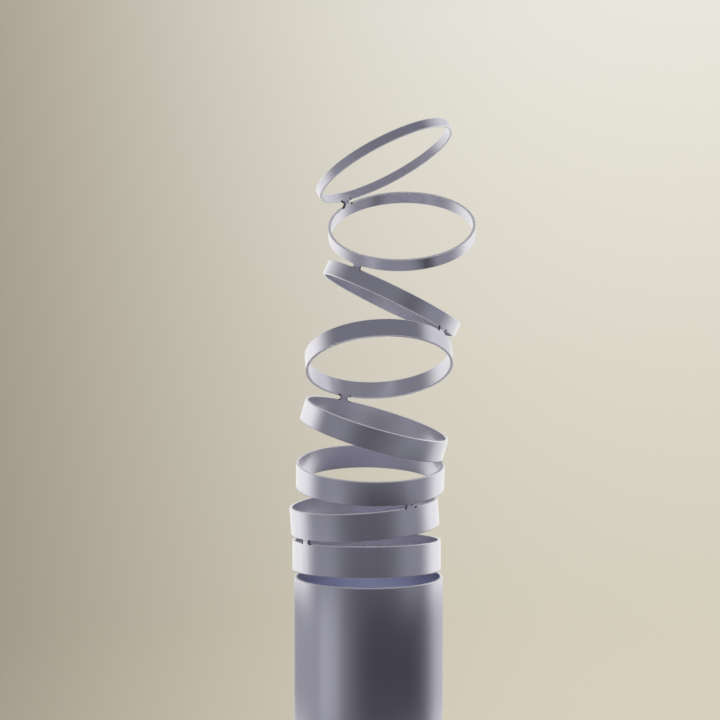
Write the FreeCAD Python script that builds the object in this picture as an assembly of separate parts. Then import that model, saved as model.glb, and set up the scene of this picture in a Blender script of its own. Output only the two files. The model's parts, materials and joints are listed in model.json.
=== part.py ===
# A table lamp made from one aluminium tube. The upper part of the tube is cut into rings, and
# each slot stops at one narrow bridge of metal. The rings fold open about these bridges, so the
# stack leans to and fro, and the light unit inside the tube shines up through it.
#
# Millimetres and degrees. +Z is up. The origin is the centre of the foot pad's lower face, and
# -Y is the front. A bridge's azimuth is counted from the front towards +X.

import FreeCAD
import Part
import math
import os

V = FreeCAD.Vector
UP = V(0, 0, 1)
BACK = V(0, 1, 0)
RIGHT = V(1, 0, 0)

# ---- the tube and its rings ----
TUBE_R = 75.0
WALL = 3.0
BORE_R = TUBE_R - WALL
WALL_MID_R = TUBE_R - WALL / 2
CLOSED_HEIGHT = 500.0      # from the table to the top, with every ring folded shut
SLOT_1 = 3.0               # height of the lowest cut between two rings
SLOT_STEP = 0.25           # each cut is this much higher than the one below it
RING_1_HEIGHT = 30.5
RING_STEP = 3.0            # each ring is this much lower than the one below it
EDGE_BREAK = 0.5           # chamfer on every cut rim
TUBE_FOOT_Z = 1.0          # the tube's lower edge, just clear of the table

# One row per ring, from the lowest: the bridge's azimuth, how far the fold line is turned from
# the tangent, how far it dips, and how far the ring is bent open.
FOLDS = [
    (188, -5, -30, 3.0),
    (-52, 11, 10, 6.0),
    (38, 1, -37, 11.0),
    (125, -9, -17, 16.5),
    (-140, 1, -5, 37.0),
    (68, -4, 0, 36.5),
    (-21, -1, 7, 44.0),
    (-113, -15, 1, 47.5),
]
RING_HEIGHTS = [RING_1_HEIGHT - RING_STEP * i for i in range(len(FOLDS))]
SLOTS = [SLOT_1 + SLOT_STEP * i for i in range(len(FOLDS))]
TUBE_TOP_Z = CLOSED_HEIGHT - sum(RING_HEIGHTS) - sum(SLOTS)

# ---- bridges ----
BRIDGE_WIDTH = 7.5
BRIDGE_THICK = 2.6
RELIEF_RISE = 0.4          # the round relief at a slot's end reaches this far past its edges
KNUCKLE_R = 1.2            # ball at the middle of the slot, on the fold line
SEAT_GAP = 0.05
NECK_WIDTH = 4.0           # the bridge narrows towards the ball, so that it can turn
NECK_THICK = 1.8
NECK_OFFSET = 0.8

# ---- base ----
PAD_R = 70.0
PAD_T = 2.0
PLATE_R = BORE_R - 0.1
PLATE_T = 10.0
PLATE_TOP_Z = PAD_T + PLATE_T
LUG_ANGLES = (30, 150, 270)
LUG_INNER_R = 58.0
LUG_WIDTH = 16.0
LUG_H = 12.0
LUG_SCREW_R = 64.0         # distance of the lug screws from the axis
BOND_GAP = 0.05            # adhesive between the lugs and the bore

# ---- screws: shank radius, head radius, head height ----
M4 = (2.0, 4.0, 2.4)
M3 = (1.5, 2.75, 2.0)
M2 = (1.0, 1.9, 1.3)
THREAD_GAP = 0.05
CLEAR_GAP = 0.2

# ---- cord entry in the back wall ----
CORD_Z = 30.0
CORD_BORE_R = 3.4
GLAND_THREAD_R = 6.0
GLAND_FLATS = 18.0
GLAND_INNER_Y = 60.0
GLAND_NUT_Y = 63.0
GLAND_WASHER_Y = 68.0
GLAND_FLANGE_Y = 79.0
GLAND_BODY_END_Y = 84.0
GLAND_END_Y = 88.0
GLAND_WASHER_R = 9.0
SEAL_R = 4.7
SEAL_START_Y = 80.0
CAP_FLATS = 15.0
CAP_START_Y = 79.5
CAP_NOSE_R = 5.6

# ---- cord anchor on the base plate ----
ANCHOR_Y = 51.0
ANCHOR_SIZE = V(26, 10, CORD_Z - PLATE_TOP_Z)
SADDLE_H = 7.0
ANCHOR_SCREW_X = 9.0

# ---- mains terminal and protective earth ----
TERMINAL_MIN = V(-40, 30, PLATE_TOP_Z)
TERMINAL_SIZE = V(22, 16, 14)
POLE_X = (-35.0, -29.0, -23.0)
POLE_Z = 19.0
POLE_BORE_R = 1.3
POLE_SCREW_Y = (34.0, 42.0)
TERMINAL_FIX = V(-32, 38, 0)
WIRE_R = 0.9
WIRE_START_Y = 38.0
STUD = V(8, 25, 0)
STUD_R = 2.0
STUD_TOP_Z = 24.0
NUT_FLATS = 7.0
NUT_H = 3.2
TAG_T = 1.0

# ---- LED driver ----
DRIVER_HALF_X = 46.0
DRIVER_MIN_Y = -26.0
DRIVER_MAX_Y = 18.0
DRIVER_WALL = 1.6
DRIVER_CASE_TOP_Z = 38.0
DRIVER_LID_T = 2.0
BOSS_R = 3.2
BOSS_INSET = 5.0
BOARD_HALF_X = 35.0
BOARD_INSET_Y = 6.5
BOARD_Z = 15.2
BOARD_T = 1.6
STANDOFF_R = 2.2
STANDOFF_INSET = 3.5
EAR_X = 30.0
EAR_SIZE = 12.0
EAR_T = 2.4
LED_LEAD_R = 1.5
LED_LEAD_X = 50.0
LED_LEAD_Z = 26.0

# ---- light unit ----
SHELF_Z = 195.0
SHELF_T = 3.0
SHELF_TOP_Z = SHELF_Z + SHELF_T
SHELF_R = BORE_R - 0.5
SINK_R = 40.0
SINK_BASE_T = 6.0
FIN_H = 24.0
FIN_T = 1.6
FIN_PITCH = 6.0
THERMAL_PAD_R = 20.0
THERMAL_PAD_T = 0.5
LED_BOARD_R = 22.0
LED_BOARD_T = 1.6
EMITTER_R = 9.0
EMITTER_T = 1.6
LED_SCREW_Y = 17.0
LED_SCREW_LENGTH = 9.0
SOCKET_MIN = V(14, -4, 0)
SOCKET_SIZE = V(7, 8, 4)
REFLECTOR_FOOT_R = 26.0
REFLECTOR_FLANGE_R = 33.0
REFLECTOR_RIM_R = 61.0
REFLECTOR_LIP_R = 64.2
REFLECTOR_T = 1.0
PILLAR_ANGLES = (90, 210, 330)
PILLAR_AT_R = 67.0
PILLAR_R = 2.6
PILLAR_H = 39.0
DIFFUSER_R = 63.9
DIFFUSER_T = 3.0
CLAMP_RING_R = 70.5
CLAMP_RING_LIP_R = 60.5
CLAMP_RING_LIP_T = 2.0
PILLAR_SCREW_LENGTH = 10.0


# ---------------------------------------------------------------- helpers

def cylinder(radius, length, start, direction=UP):
    return Part.makeCylinder(radius, length, start, direction)


def annulus(outer, inner, length, start, direction=UP):
    return cylinder(outer, length, start, direction).cut(cylinder(inner, length, start, direction))


def block(corner, size):
    return Part.makeBox(size.x, size.y, size.z, corner)


def polar(radius, angle, z=0.0):
    a = math.radians(angle)
    return V(radius * math.cos(a), radius * math.sin(a), z)


def hexagon(flats, length, start, direction=UP):
    """Hexagonal prism, `flats` across its flats."""
    corner_r = flats / math.sqrt(3)
    corners = [polar(corner_r, 60 * i) for i in range(7)]
    prism = Part.Face(Part.makePolygon(corners)).extrude(V(0, 0, length))
    turn = FreeCAD.Rotation(UP, direction)
    prism.Placement = FreeCAD.Placement(start, turn)
    return prism


def screw(size, length, under_head, direction):
    """Pan-head screw: its shank runs along `direction` from under its head."""
    shank_r, head_r, head_h = size
    shank = cylinder(shank_r, length, under_head, direction)
    head = cylinder(head_r, head_h, under_head, direction * -1)
    rim = [e for e in head.Edges if e.Curve.TypeId == "Part::GeomCircle"]
    rim = [e for e in rim if (e.CenterOfMass - under_head).Length > head_h / 2]
    slot = Part.makeBox(head_r * 2, head_r * 0.3, head_h)
    slot.translate(V(-head_r, -head_r * 0.15, 0))
    slot.Placement = FreeCAD.Placement(
        under_head - direction * (head_h * 1.6), FreeCAD.Rotation(UP, direction)
    ).multiply(slot.Placement)
    return head.makeFillet(head_h * 0.3, rim).cut(slot).fuse(shank).removeSplitter()


def hex_nut(flats, height, bore, start):
    return hexagon(flats, height, start).cut(cylinder(bore, height, start))


def lead(radius, points, bend):
    """Round wire along straight runs joined by tangent arcs of radius `bend`."""
    edges = []
    here = points[0]
    for i in range(1, len(points) - 1):
        into = (points[i] - points[i - 1]).normalize()
        out = (points[i + 1] - points[i]).normalize()
        turn = into.getAngle(out)
        setback = bend * math.tan(turn / 2)
        first = points[i] - into * setback
        last = points[i] + out * setback
        inward = (out - into).normalize()
        middle = points[i] + inward * (bend / math.cos(turn / 2) - bend)
        edges.append(Part.LineSegment(here, first).toShape())
        edges.append(Part.Arc(first, middle, last).toShape())
        here = last
    edges.append(Part.LineSegment(here, points[-1]).toShape())
    path = Part.Wire(edges)
    start_dir = points[1] - points[0]
    section = Part.Wire([Part.Circle(points[0], start_dir, radius).toShape()])
    return path.makePipeShell([section], True, False)


def save(name, shape):
    shape.exportStep(os.path.join("parts", name + ".step"))


# ---------------------------------------------------------------- rings and bridges

def bridge_radial(azimuth):
    a = math.radians(azimuth)
    return V(math.sin(a), -math.cos(a), 0)


def fold_line(azimuth, skew, dip):
    heading = math.radians(azimuth + skew)
    d = math.radians(dip)
    return V(math.cos(heading) * math.cos(d), math.sin(heading) * math.cos(d), math.sin(d))


def fold_placement(azimuth, skew, dip, opening, slot):
    """Where a ring's own frame lies in the frame of the rim below it."""
    pivot = bridge_radial(azimuth) * WALL_MID_R + UP * (slot / 2)
    turn = FreeCAD.Rotation(fold_line(azimuth, skew, dip), opening)
    fold = FreeCAD.Placement(V(0, 0, 0), turn, pivot)
    return fold.multiply(FreeCAD.Placement(UP * slot, FreeCAD.Rotation()))


def bridge_placement(azimuth, z):
    """Frame on the wall's middle: X along the rim, Y outwards from the axis, Z up."""
    start = bridge_radial(azimuth) * WALL_MID_R + UP * z
    return FreeCAD.Placement(start, FreeCAD.Rotation(UP, azimuth + 180))


def tube_length(z0, height):
    """A length of the tube with its rims' edges broken."""
    wall = annulus(TUBE_R, BORE_R, height, V(0, 0, z0))
    rims = [e for e in wall.Edges if e.Curve.TypeId == "Part::GeomCircle"]
    return wall.makeChamfer(EDGE_BREAK, rims)


def cut_reliefs(wall, azimuth, slot_middle_z, slot):
    """Round reliefs at the two ends of a slot, one on each side of its bridge."""
    relief_r = slot / 2 + RELIEF_RISE
    offset = BRIDGE_WIDTH / 2 + relief_r
    for side in (-1, 1):
        drill = cylinder(relief_r, 4 * WALL, V(side * offset, -2 * WALL, 0), BACK)
        drill.Placement = bridge_placement(azimuth, slot_middle_z).multiply(drill.Placement)
        wall = wall.cut(drill)
    return wall


def neck(root_z, tip_z):
    """Tapered half of a bridge, from a rim at root_z to its narrow end at tip_z."""
    def outline(width, thick, z):
        x = width / 2
        y = thick / 2
        return Part.makePolygon([V(-x, -y, z), V(x, -y, z), V(x, y, z), V(-x, y, z), V(-x, -y, z)])
    ends = [outline(BRIDGE_WIDTH, BRIDGE_THICK, root_z), outline(NECK_WIDTH, NECK_THICK, tip_z)]
    return Part.makeLoft(ends, True, True)


def bridge_foot(slot):
    return neck(-slot / 2, -NECK_OFFSET).fuse(Part.makeSphere(KNUCKLE_R))


def bridge_seat(slot):
    return neck(slot / 2, NECK_OFFSET).cut(Part.makeSphere(KNUCKLE_R + SEAT_GAP))


def make_stack():
    rim = FreeCAD.Placement(UP * TUBE_TOP_Z, FreeCAD.Rotation())
    for i, (azimuth, skew, dip, opening) in enumerate(FOLDS):
        number = str(i + 1)
        height = RING_HEIGHTS[i]
        slot = SLOTS[i]

        foot = bridge_foot(slot)
        foot.Placement = rim.multiply(bridge_placement(azimuth, slot / 2))
        save("bridge_foot_" + number, foot)

        ring_frame = rim.multiply(fold_placement(azimuth, skew, dip, opening, slot))
        seat = bridge_seat(slot)
        seat.Placement = ring_frame.multiply(bridge_placement(azimuth, -slot / 2))
        save("bridge_seat_" + number, seat)

        ring = cut_reliefs(tube_length(0, height), azimuth, -slot / 2, slot)
        if i + 1 < len(FOLDS):
            slot_above = SLOTS[i + 1]
            ring = cut_reliefs(ring, FOLDS[i + 1][0], height + slot_above / 2, slot_above)
        ring.Placement = ring_frame
        save("ring_" + number, ring)
        rim = ring_frame.multiply(FreeCAD.Placement(UP * height, FreeCAD.Rotation()))


def make_tube():
    tube = tube_length(TUBE_FOOT_Z, TUBE_TOP_Z - TUBE_FOOT_Z)
    tube = cut_reliefs(tube, FOLDS[0][0], TUBE_TOP_Z + SLOTS[0] / 2, SLOTS[0])
    cord_hole = cylinder(GLAND_THREAD_R + 0.1, TUBE_R, V(0, 0, CORD_Z), BACK)
    save("tube", tube.cut(cord_hole))


# ---------------------------------------------------------------- base

def wall_lugs(z):
    """Three lugs bonded to the bore, each with a threaded hole."""
    lugs = []
    inside = cylinder(BORE_R - BOND_GAP, LUG_H, V(0, 0, z))
    for angle in LUG_ANGLES:
        lug = block(V(LUG_INNER_R, -LUG_WIDTH / 2, z), V(TUBE_R, LUG_WIDTH, LUG_H))
        lug.rotate(V(0, 0, 0), UP, angle)
        bore = cylinder(M4[0] + THREAD_GAP, LUG_H, polar(LUG_SCREW_R, angle, z))
        lugs.append(lug.common(inside).cut(bore))
    return lugs


def countersunk_screw(start, length):
    """Countersunk screw pointing up, its flat head's face at `start`."""
    shank_r, head_r, head_h = M4
    head = Part.makeCone(head_r, shank_r, head_h, start, UP)
    return head.fuse(cylinder(shank_r, length - head_h, start + UP * head_h))


def make_base():
    save("foot_pad", cylinder(PAD_R, PAD_T, V(0, 0, 0)))

    plate = cylinder(PLATE_R, PLATE_T, V(0, 0, PAD_T))
    shank_r, head_r, head_h = M4
    screws = []
    for angle in LUG_ANGLES:
        start = polar(LUG_SCREW_R, angle, PAD_T)
        plate = plate.cut(cylinder(shank_r + CLEAR_GAP, PLATE_T, start))
        plate = plate.cut(Part.makeCone(head_r + CLEAR_GAP, shank_r + CLEAR_GAP, head_h, start, UP))
        screws.append(countersunk_screw(start, PLATE_T + LUG_H - 2))
    threads = [(spot, M3[0]) for spot in anchor_screw_spots()]
    threads += [(spot, M4[0]) for spot in driver_ear_spots()]
    threads += [(TERMINAL_FIX, M2[0]), (STUD, STUD_R)]
    for spot, bore in threads:
        hole_start = spot + UP * (PLATE_TOP_Z - PLATE_T / 2)
        plate = plate.cut(cylinder(bore + THREAD_GAP, PLATE_T / 2, hole_start))
    save("base_plate", plate)
    save("base_screws", Part.makeCompound(screws))
    save("wall_lugs", Part.makeCompound(wall_lugs(PLATE_TOP_Z) + wall_lugs(SHELF_Z - LUG_H)))


# ---------------------------------------------------------------- cord entry

def make_gland():
    axis = V(0, 0, CORD_Z)
    bore = cylinder(CORD_BORE_R, 2 * TUBE_R, axis, BACK)
    wall_out = cylinder(TUBE_R + BOND_GAP, CLOSED_HEIGHT, V(0, 0, 0))
    wall_in = cylinder(BORE_R - BOND_GAP, CLOSED_HEIGHT, V(0, 0, 0))

    flange_len = GLAND_FLANGE_Y - GLAND_WASHER_Y
    flange = hexagon(GLAND_FLATS, flange_len, axis + BACK * GLAND_WASHER_Y, BACK)
    stem_len = GLAND_BODY_END_Y - GLAND_INNER_Y
    stem = cylinder(GLAND_THREAD_R, stem_len, axis + BACK * GLAND_INNER_Y, BACK)
    seal_seat = cylinder(SEAL_R + THREAD_GAP, TUBE_R, axis + BACK * SEAL_START_Y, BACK)
    save("gland_body", flange.cut(wall_out).fuse(stem).cut(bore).cut(seal_seat).removeSplitter())

    seal_len = GLAND_BODY_END_Y - SEAL_START_Y
    save("gland_seal", annulus(SEAL_R, CORD_BORE_R, seal_len, axis + BACK * SEAL_START_Y, BACK))

    cap_start = axis + BACK * CAP_START_Y
    cap_len = GLAND_BODY_END_Y - CAP_START_Y
    cap = hexagon(CAP_FLATS, cap_len, cap_start, BACK)
    dome_len = GLAND_END_Y - GLAND_BODY_END_Y
    dome = Part.makeCone(CAP_FLATS / 2, CAP_NOSE_R, dome_len, axis + BACK * GLAND_BODY_END_Y, BACK)
    thread = cylinder(GLAND_THREAD_R + THREAD_GAP, cap_len, cap_start, BACK)
    save("gland_cap", cap.fuse(dome).cut(thread).cut(bore).removeSplitter())

    washer = cylinder(GLAND_WASHER_R, TUBE_R, axis + BACK * GLAND_WASHER_Y, BACK).common(wall_in)
    thread_clear = cylinder(GLAND_THREAD_R + THREAD_GAP, 2 * TUBE_R, axis, BACK)
    save("gland_washer", washer.cut(thread_clear))

    nut = hexagon(GLAND_FLATS, GLAND_WASHER_Y - GLAND_NUT_Y, axis + BACK * GLAND_NUT_Y, BACK)
    save("gland_nut", nut.cut(thread_clear))


def anchor_screw_spots():
    return [V(side * ANCHOR_SCREW_X, ANCHOR_Y, 0) for side in (-1, 1)]


def make_cord_anchor():
    corner = V(-ANCHOR_SIZE.x / 2, ANCHOR_Y - ANCHOR_SIZE.y / 2, PLATE_TOP_Z)
    groove = cylinder(CORD_BORE_R, TUBE_R, V(0, 0, CORD_Z), BACK)
    anchor = block(corner, ANCHOR_SIZE).cut(groove)
    saddle_size = V(ANCHOR_SIZE.x, ANCHOR_SIZE.y, SADDLE_H)
    saddle = block(corner + UP * ANCHOR_SIZE.z, saddle_size).cut(groove)
    head_z = CORD_Z + SADDLE_H
    screw_length = head_z - PLATE_TOP_Z + PLATE_T / 2 - 1
    screws = []
    for spot in anchor_screw_spots():
        hole = cylinder(M3[0] + CLEAR_GAP, head_z, spot)
        anchor = anchor.cut(hole)
        saddle = saddle.cut(hole)
        screws.append(screw(M3, screw_length, spot + UP * head_z, UP * -1))
    save("cord_anchor", anchor)
    save("cord_saddle", saddle)
    save("cord_anchor_screws", Part.makeCompound(screws))


# ---------------------------------------------------------------- mains terminal and earth

def make_terminal():
    body = block(TERMINAL_MIN, TERMINAL_SIZE)
    top_z = TERMINAL_MIN.z + TERMINAL_SIZE.z
    screws = []
    for x in POLE_X:
        bore = cylinder(POLE_BORE_R, TERMINAL_SIZE.y, V(x, TERMINAL_MIN.y, POLE_Z), BACK)
        body = body.cut(bore)
        for y in POLE_SCREW_Y:
            well = cylinder(POLE_BORE_R + THREAD_GAP, top_z - POLE_Z, V(x, y, POLE_Z))
            body = body.cut(well)
            screws.append(cylinder(POLE_BORE_R, top_z - POLE_Z - 2.2, V(x, y, POLE_Z + 1.4)))
    body = body.cut(cylinder(M2[0] + 0.1, TERMINAL_SIZE.z, TERMINAL_FIX + UP * PLATE_TOP_Z))
    save("terminal_block", body)
    fix_length = TERMINAL_SIZE.z + PLATE_T / 2 - 1
    screws.append(screw(M2, fix_length, TERMINAL_FIX + UP * top_z, UP * -1))
    save("terminal_screws", Part.makeCompound(screws))


def make_earth():
    stud_foot_z = PLATE_TOP_Z - PLATE_T / 2
    stud = cylinder(STUD_R, STUD_TOP_Z - stud_foot_z, STUD + UP * stud_foot_z)
    tag_z = POLE_Z - TAG_T / 2
    nuts = []
    for z in (tag_z - NUT_H, tag_z + TAG_T):
        nuts.append(hex_nut(NUT_FLATS, NUT_H, STUD_R + THREAD_GAP, STUD + UP * z))
    save("earth_stud", Part.makeCompound([stud] + nuts))
    plate = cylinder(NUT_FLATS / 2 + 0.5, TAG_T, STUD + UP * tag_z)
    barrel_start = V(STUD.x - 11, STUD.y, POLE_Z)
    barrel = cylinder(WIRE_R + 0.9, 7.5, barrel_start, RIGHT)
    barrel = barrel.cut(cylinder(WIRE_R + THREAD_GAP, 5, barrel_start, RIGHT))
    tag = plate.fuse(barrel).cut(cylinder(STUD_R + 0.1, 4 * NUT_H, STUD + UP * PLATE_TOP_Z))
    for nut in nuts:
        tag = tag.cut(nut)
    save("earth_tag", max(tag.Solids, key=lambda piece: piece.Volume))

    route = [
        V(POLE_X[2], WIRE_START_Y, POLE_Z),
        V(POLE_X[2], STUD.y, POLE_Z),
        V(barrel_start.x + 4, STUD.y, POLE_Z),
    ]
    earth = lead(WIRE_R, route, 4.0)
    live = []
    for x in POLE_X[:2]:
        run = WIRE_START_Y - DRIVER_MAX_Y + 6
        live.append(cylinder(WIRE_R, run, V(x, WIRE_START_Y, POLE_Z), BACK * -1))
    save("mains_wires", Part.makeCompound([earth] + live))


# ---------------------------------------------------------------- driver

def driver_ear_spots():
    return [V(EAR_X, DRIVER_MAX_Y + EAR_SIZE / 2, 0), V(-EAR_X, DRIVER_MIN_Y - EAR_SIZE / 2, 0)]


def make_driver():
    size = V(2 * DRIVER_HALF_X, DRIVER_MAX_Y - DRIVER_MIN_Y, DRIVER_CASE_TOP_Z - PLATE_TOP_Z)
    corner = V(-DRIVER_HALF_X, DRIVER_MIN_Y, PLATE_TOP_Z)
    inset = V(DRIVER_WALL, DRIVER_WALL, DRIVER_WALL)
    hollow = block(corner + inset, V(size.x - 2 * DRIVER_WALL, size.y - 2 * DRIVER_WALL, size.z))
    case = block(corner, size).cut(hollow)

    floor_z = PLATE_TOP_Z + DRIVER_WALL
    boss_y = (DRIVER_MIN_Y + BOSS_INSET, DRIVER_MAX_Y - BOSS_INSET)
    bosses = [V(sx * (DRIVER_HALF_X - BOSS_INSET), y, floor_z) for sx in (-1, 1) for y in boss_y]
    for spot in bosses:
        case = case.fuse(cylinder(BOSS_R, DRIVER_CASE_TOP_Z - floor_z, spot))
        case = case.cut(cylinder(M3[0] + THREAD_GAP, DRIVER_CASE_TOP_Z - floor_z, spot))
    board_y = (DRIVER_MIN_Y + BOARD_INSET_Y, DRIVER_MAX_Y - BOARD_INSET_Y)
    rest_y = (board_y[0] + STANDOFF_INSET, board_y[1] - STANDOFF_INSET)
    for sx in (-1, 1):
        for y in rest_y:
            spot = V(sx * (BOARD_HALF_X - STANDOFF_INSET), y, floor_z)
            case = case.fuse(cylinder(STANDOFF_R, BOARD_Z - floor_z, spot))
    for spot in driver_ear_spots():
        ear_corner = spot + V(-EAR_SIZE / 2, -EAR_SIZE / 2, PLATE_TOP_Z)
        ear = block(ear_corner, V(EAR_SIZE, EAR_SIZE, EAR_T))
        case = case.fuse(ear).cut(cylinder(M4[0] + CLEAR_GAP, EAR_T, spot + UP * PLATE_TOP_Z))
    for x in POLE_X[:2]:
        case = case.cut(cylinder(WIRE_R + CLEAR_GAP, 4, V(x, DRIVER_MAX_Y - 3, POLE_Z), BACK))
    lead_hole = cylinder(LED_LEAD_R + CLEAR_GAP, 4, V(DRIVER_HALF_X - 3, 0, LED_LEAD_Z), RIGHT)
    save("driver_case", case.cut(lead_hole).removeSplitter())

    lid = block(corner + UP * size.z, V(size.x, size.y, DRIVER_LID_T))
    driver_screws = []
    for spot in bosses:
        lid = lid.cut(cylinder(M3[0] + CLEAR_GAP, 2 * DRIVER_CASE_TOP_Z, spot))
        top = V(spot.x, spot.y, DRIVER_CASE_TOP_Z + DRIVER_LID_T)
        driver_screws.append(screw(M3, 10, top, UP * -1))
    save("driver_lid", lid)
    for spot in driver_ear_spots():
        under_head = spot + UP * (PLATE_TOP_Z + EAR_T)
        driver_screws.append(screw(M4, EAR_T + PLATE_T / 2 - 1, under_head, UP * -1))
    save("driver_screws", Part.makeCompound(driver_screws))

    board_corner = V(-BOARD_HALF_X, board_y[0], BOARD_Z)
    board = block(board_corner, V(2 * BOARD_HALF_X, board_y[1] - board_y[0], BOARD_T))
    save("driver_board", Part.makeCompound([board] + driver_components(BOARD_Z + BOARD_T)))


def driver_components(z):
    """Transformer, capacitors and output choke standing on the driver board."""
    transformer = block(V(-8, -14, z), V(16, 18, 15))
    capacitors = [cylinder(5, 16, V(-20, y, z)) for y in (-12, -1)]
    choke = annulus(6, 2.5, 6, V(20, -10, z))
    return [transformer, choke] + capacitors


# ---------------------------------------------------------------- light unit

def make_shelf():
    shelf = cylinder(SHELF_R, SHELF_T, V(0, 0, SHELF_Z))
    lug_screws = []
    for angle in LUG_ANGLES:
        shelf = shelf.cut(cylinder(M4[0] + CLEAR_GAP, SHELF_T, polar(LUG_SCREW_R, angle, SHELF_Z)))
        under_head = polar(LUG_SCREW_R, angle, SHELF_TOP_Z)
        lug_screws.append(screw(M4, SHELF_T + LUG_H - 4, under_head, UP * -1))
    for angle in PILLAR_ANGLES:
        shelf = shelf.cut(cylinder(M3[0] + CLEAR_GAP, SHELF_T, polar(PILLAR_AT_R, angle, SHELF_Z)))
    shelf = shelf.cut(cylinder(LED_LEAD_R + 1, SHELF_T, V(LED_LEAD_X, 0, SHELF_Z)))
    for side in (-1, 1):
        shelf = shelf.cut(cylinder(M3[0] + CLEAR_GAP, SHELF_T, V(0, side * LED_SCREW_Y, SHELF_Z)))
    save("shelf", shelf)
    save("shelf_screws", Part.makeCompound(lug_screws))


def make_heat_sink():
    base_z = SHELF_Z - SINK_BASE_T
    sink = cylinder(SINK_R, SINK_BASE_T, V(0, 0, base_z))
    round_limit = cylinder(SINK_R, FIN_H, V(0, 0, base_z - FIN_H))
    count = int(SINK_R / FIN_PITCH)
    for i in range(-count, count + 1):
        fin_corner = V(i * FIN_PITCH - FIN_T / 2, -SINK_R, base_z - FIN_H)
        fin = block(fin_corner, V(FIN_T, 2 * SINK_R, FIN_H))
        sink = sink.fuse(fin.common(round_limit))
    for side in (-1, 1):
        sink = sink.cut(cylinder(M3[0] + THREAD_GAP, SINK_BASE_T, V(0, side * LED_SCREW_Y, base_z)))
    save("heat_sink", sink.removeSplitter())


def make_light_source():
    pad = cylinder(THERMAL_PAD_R, THERMAL_PAD_T, V(0, 0, SHELF_TOP_Z))
    board_z = SHELF_TOP_Z + THERMAL_PAD_T
    board = cylinder(LED_BOARD_R, LED_BOARD_T, V(0, 0, board_z))
    screws = []
    for side in (-1, 1):
        hole = cylinder(M3[0] + CLEAR_GAP, board_z, V(0, side * LED_SCREW_Y, SHELF_TOP_Z))
        pad = pad.cut(hole)
        board = board.cut(hole)
        top = V(0, side * LED_SCREW_Y, board_z + LED_BOARD_T)
        screws.append(screw(M3, LED_SCREW_LENGTH, top, UP * -1))
    save("thermal_pad", pad)
    save("led_screws", Part.makeCompound(screws))
    board_top_z = board_z + LED_BOARD_T
    save("led_emitter", cylinder(EMITTER_R, EMITTER_T, V(0, 0, board_top_z)))
    socket = block(SOCKET_MIN + UP * board_top_z, SOCKET_SIZE)
    save("led_board", Part.makeCompound([board, socket]))
    return board_top_z


def lead_end_z(board_top_z):
    return board_top_z + SOCKET_SIZE.z / 2


def make_optics(board_top_z):
    top_z = SHELF_TOP_Z + PILLAR_H
    t = REFLECTOR_T
    foot_r = REFLECTOR_FOOT_R
    outline = [
        V(foot_r, 0, SHELF_TOP_Z),
        V(REFLECTOR_FLANGE_R, 0, SHELF_TOP_Z),
        V(REFLECTOR_FLANGE_R, 0, SHELF_TOP_Z + t),
        V(foot_r + 2 * t, 0, SHELF_TOP_Z + t),
        V(REFLECTOR_RIM_R + t, 0, top_z - t),
        V(REFLECTOR_LIP_R, 0, top_z - t),
        V(REFLECTOR_LIP_R, 0, top_z),
        V(REFLECTOR_RIM_R, 0, top_z),
        V(foot_r, 0, SHELF_TOP_Z + t),
        V(foot_r, 0, SHELF_TOP_Z),
    ]
    reflector = Part.Face(Part.makePolygon(outline)).revolve(V(0, 0, 0), UP, 360)
    lead_z = lead_end_z(board_top_z)
    lead_hole = cylinder(LED_LEAD_R + 0.6, SINK_R, V(foot_r - 4, 0, lead_z), RIGHT)
    save("reflector", reflector.cut(lead_hole))

    save("diffuser", cylinder(DIFFUSER_R, DIFFUSER_T, V(0, 0, top_z)))

    lip_z = top_z + DIFFUSER_T + BOND_GAP
    seat_height = DIFFUSER_T + BOND_GAP + CLAMP_RING_LIP_T
    ring = annulus(CLAMP_RING_R, CLAMP_RING_LIP_R, seat_height, V(0, 0, top_z))
    ring = ring.cut(cylinder(REFLECTOR_LIP_R + 0.1, lip_z - top_z, V(0, 0, top_z)))
    ring_top_z = lip_z + CLAMP_RING_LIP_T
    pillars = []
    screws = []
    for angle in PILLAR_ANGLES:
        foot = polar(PILLAR_AT_R, angle, SHELF_TOP_Z)
        pillars.append(annulus(PILLAR_R, M3[0] + THREAD_GAP, PILLAR_H, foot))
        ring = ring.cut(cylinder(M3[0] + CLEAR_GAP, seat_height, polar(PILLAR_AT_R, angle, top_z)))
        ring_screw_length = seat_height + PILLAR_SCREW_LENGTH
        screws.append(screw(M3, ring_screw_length, polar(PILLAR_AT_R, angle, ring_top_z), UP * -1))
        screws.append(screw(M3, PILLAR_SCREW_LENGTH, polar(PILLAR_AT_R, angle, SHELF_Z), UP))
    save("diffuser_ring", ring)
    save("pillars", Part.makeCompound(pillars))
    save("pillar_screws", Part.makeCompound(screws))

    route = [
        V(DRIVER_HALF_X - 8, 0, LED_LEAD_Z),
        V(LED_LEAD_X, 0, LED_LEAD_Z),
        V(LED_LEAD_X, 0, lead_z),
        V(SOCKET_MIN.x + SOCKET_SIZE.x, 0, lead_z),
    ]
    save("lead_led", lead(LED_LEAD_R, route, 4.0))


os.makedirs("parts", exist_ok=True)
make_tube()
make_stack()
make_base()
make_gland()
make_cord_anchor()
make_terminal()
make_earth()
make_driver()
make_shelf()
make_heat_sink()
make_optics(make_light_source())
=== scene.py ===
import json
import math

import bpy
import numpy as np
from mathutils import Matrix, Vector


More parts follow.
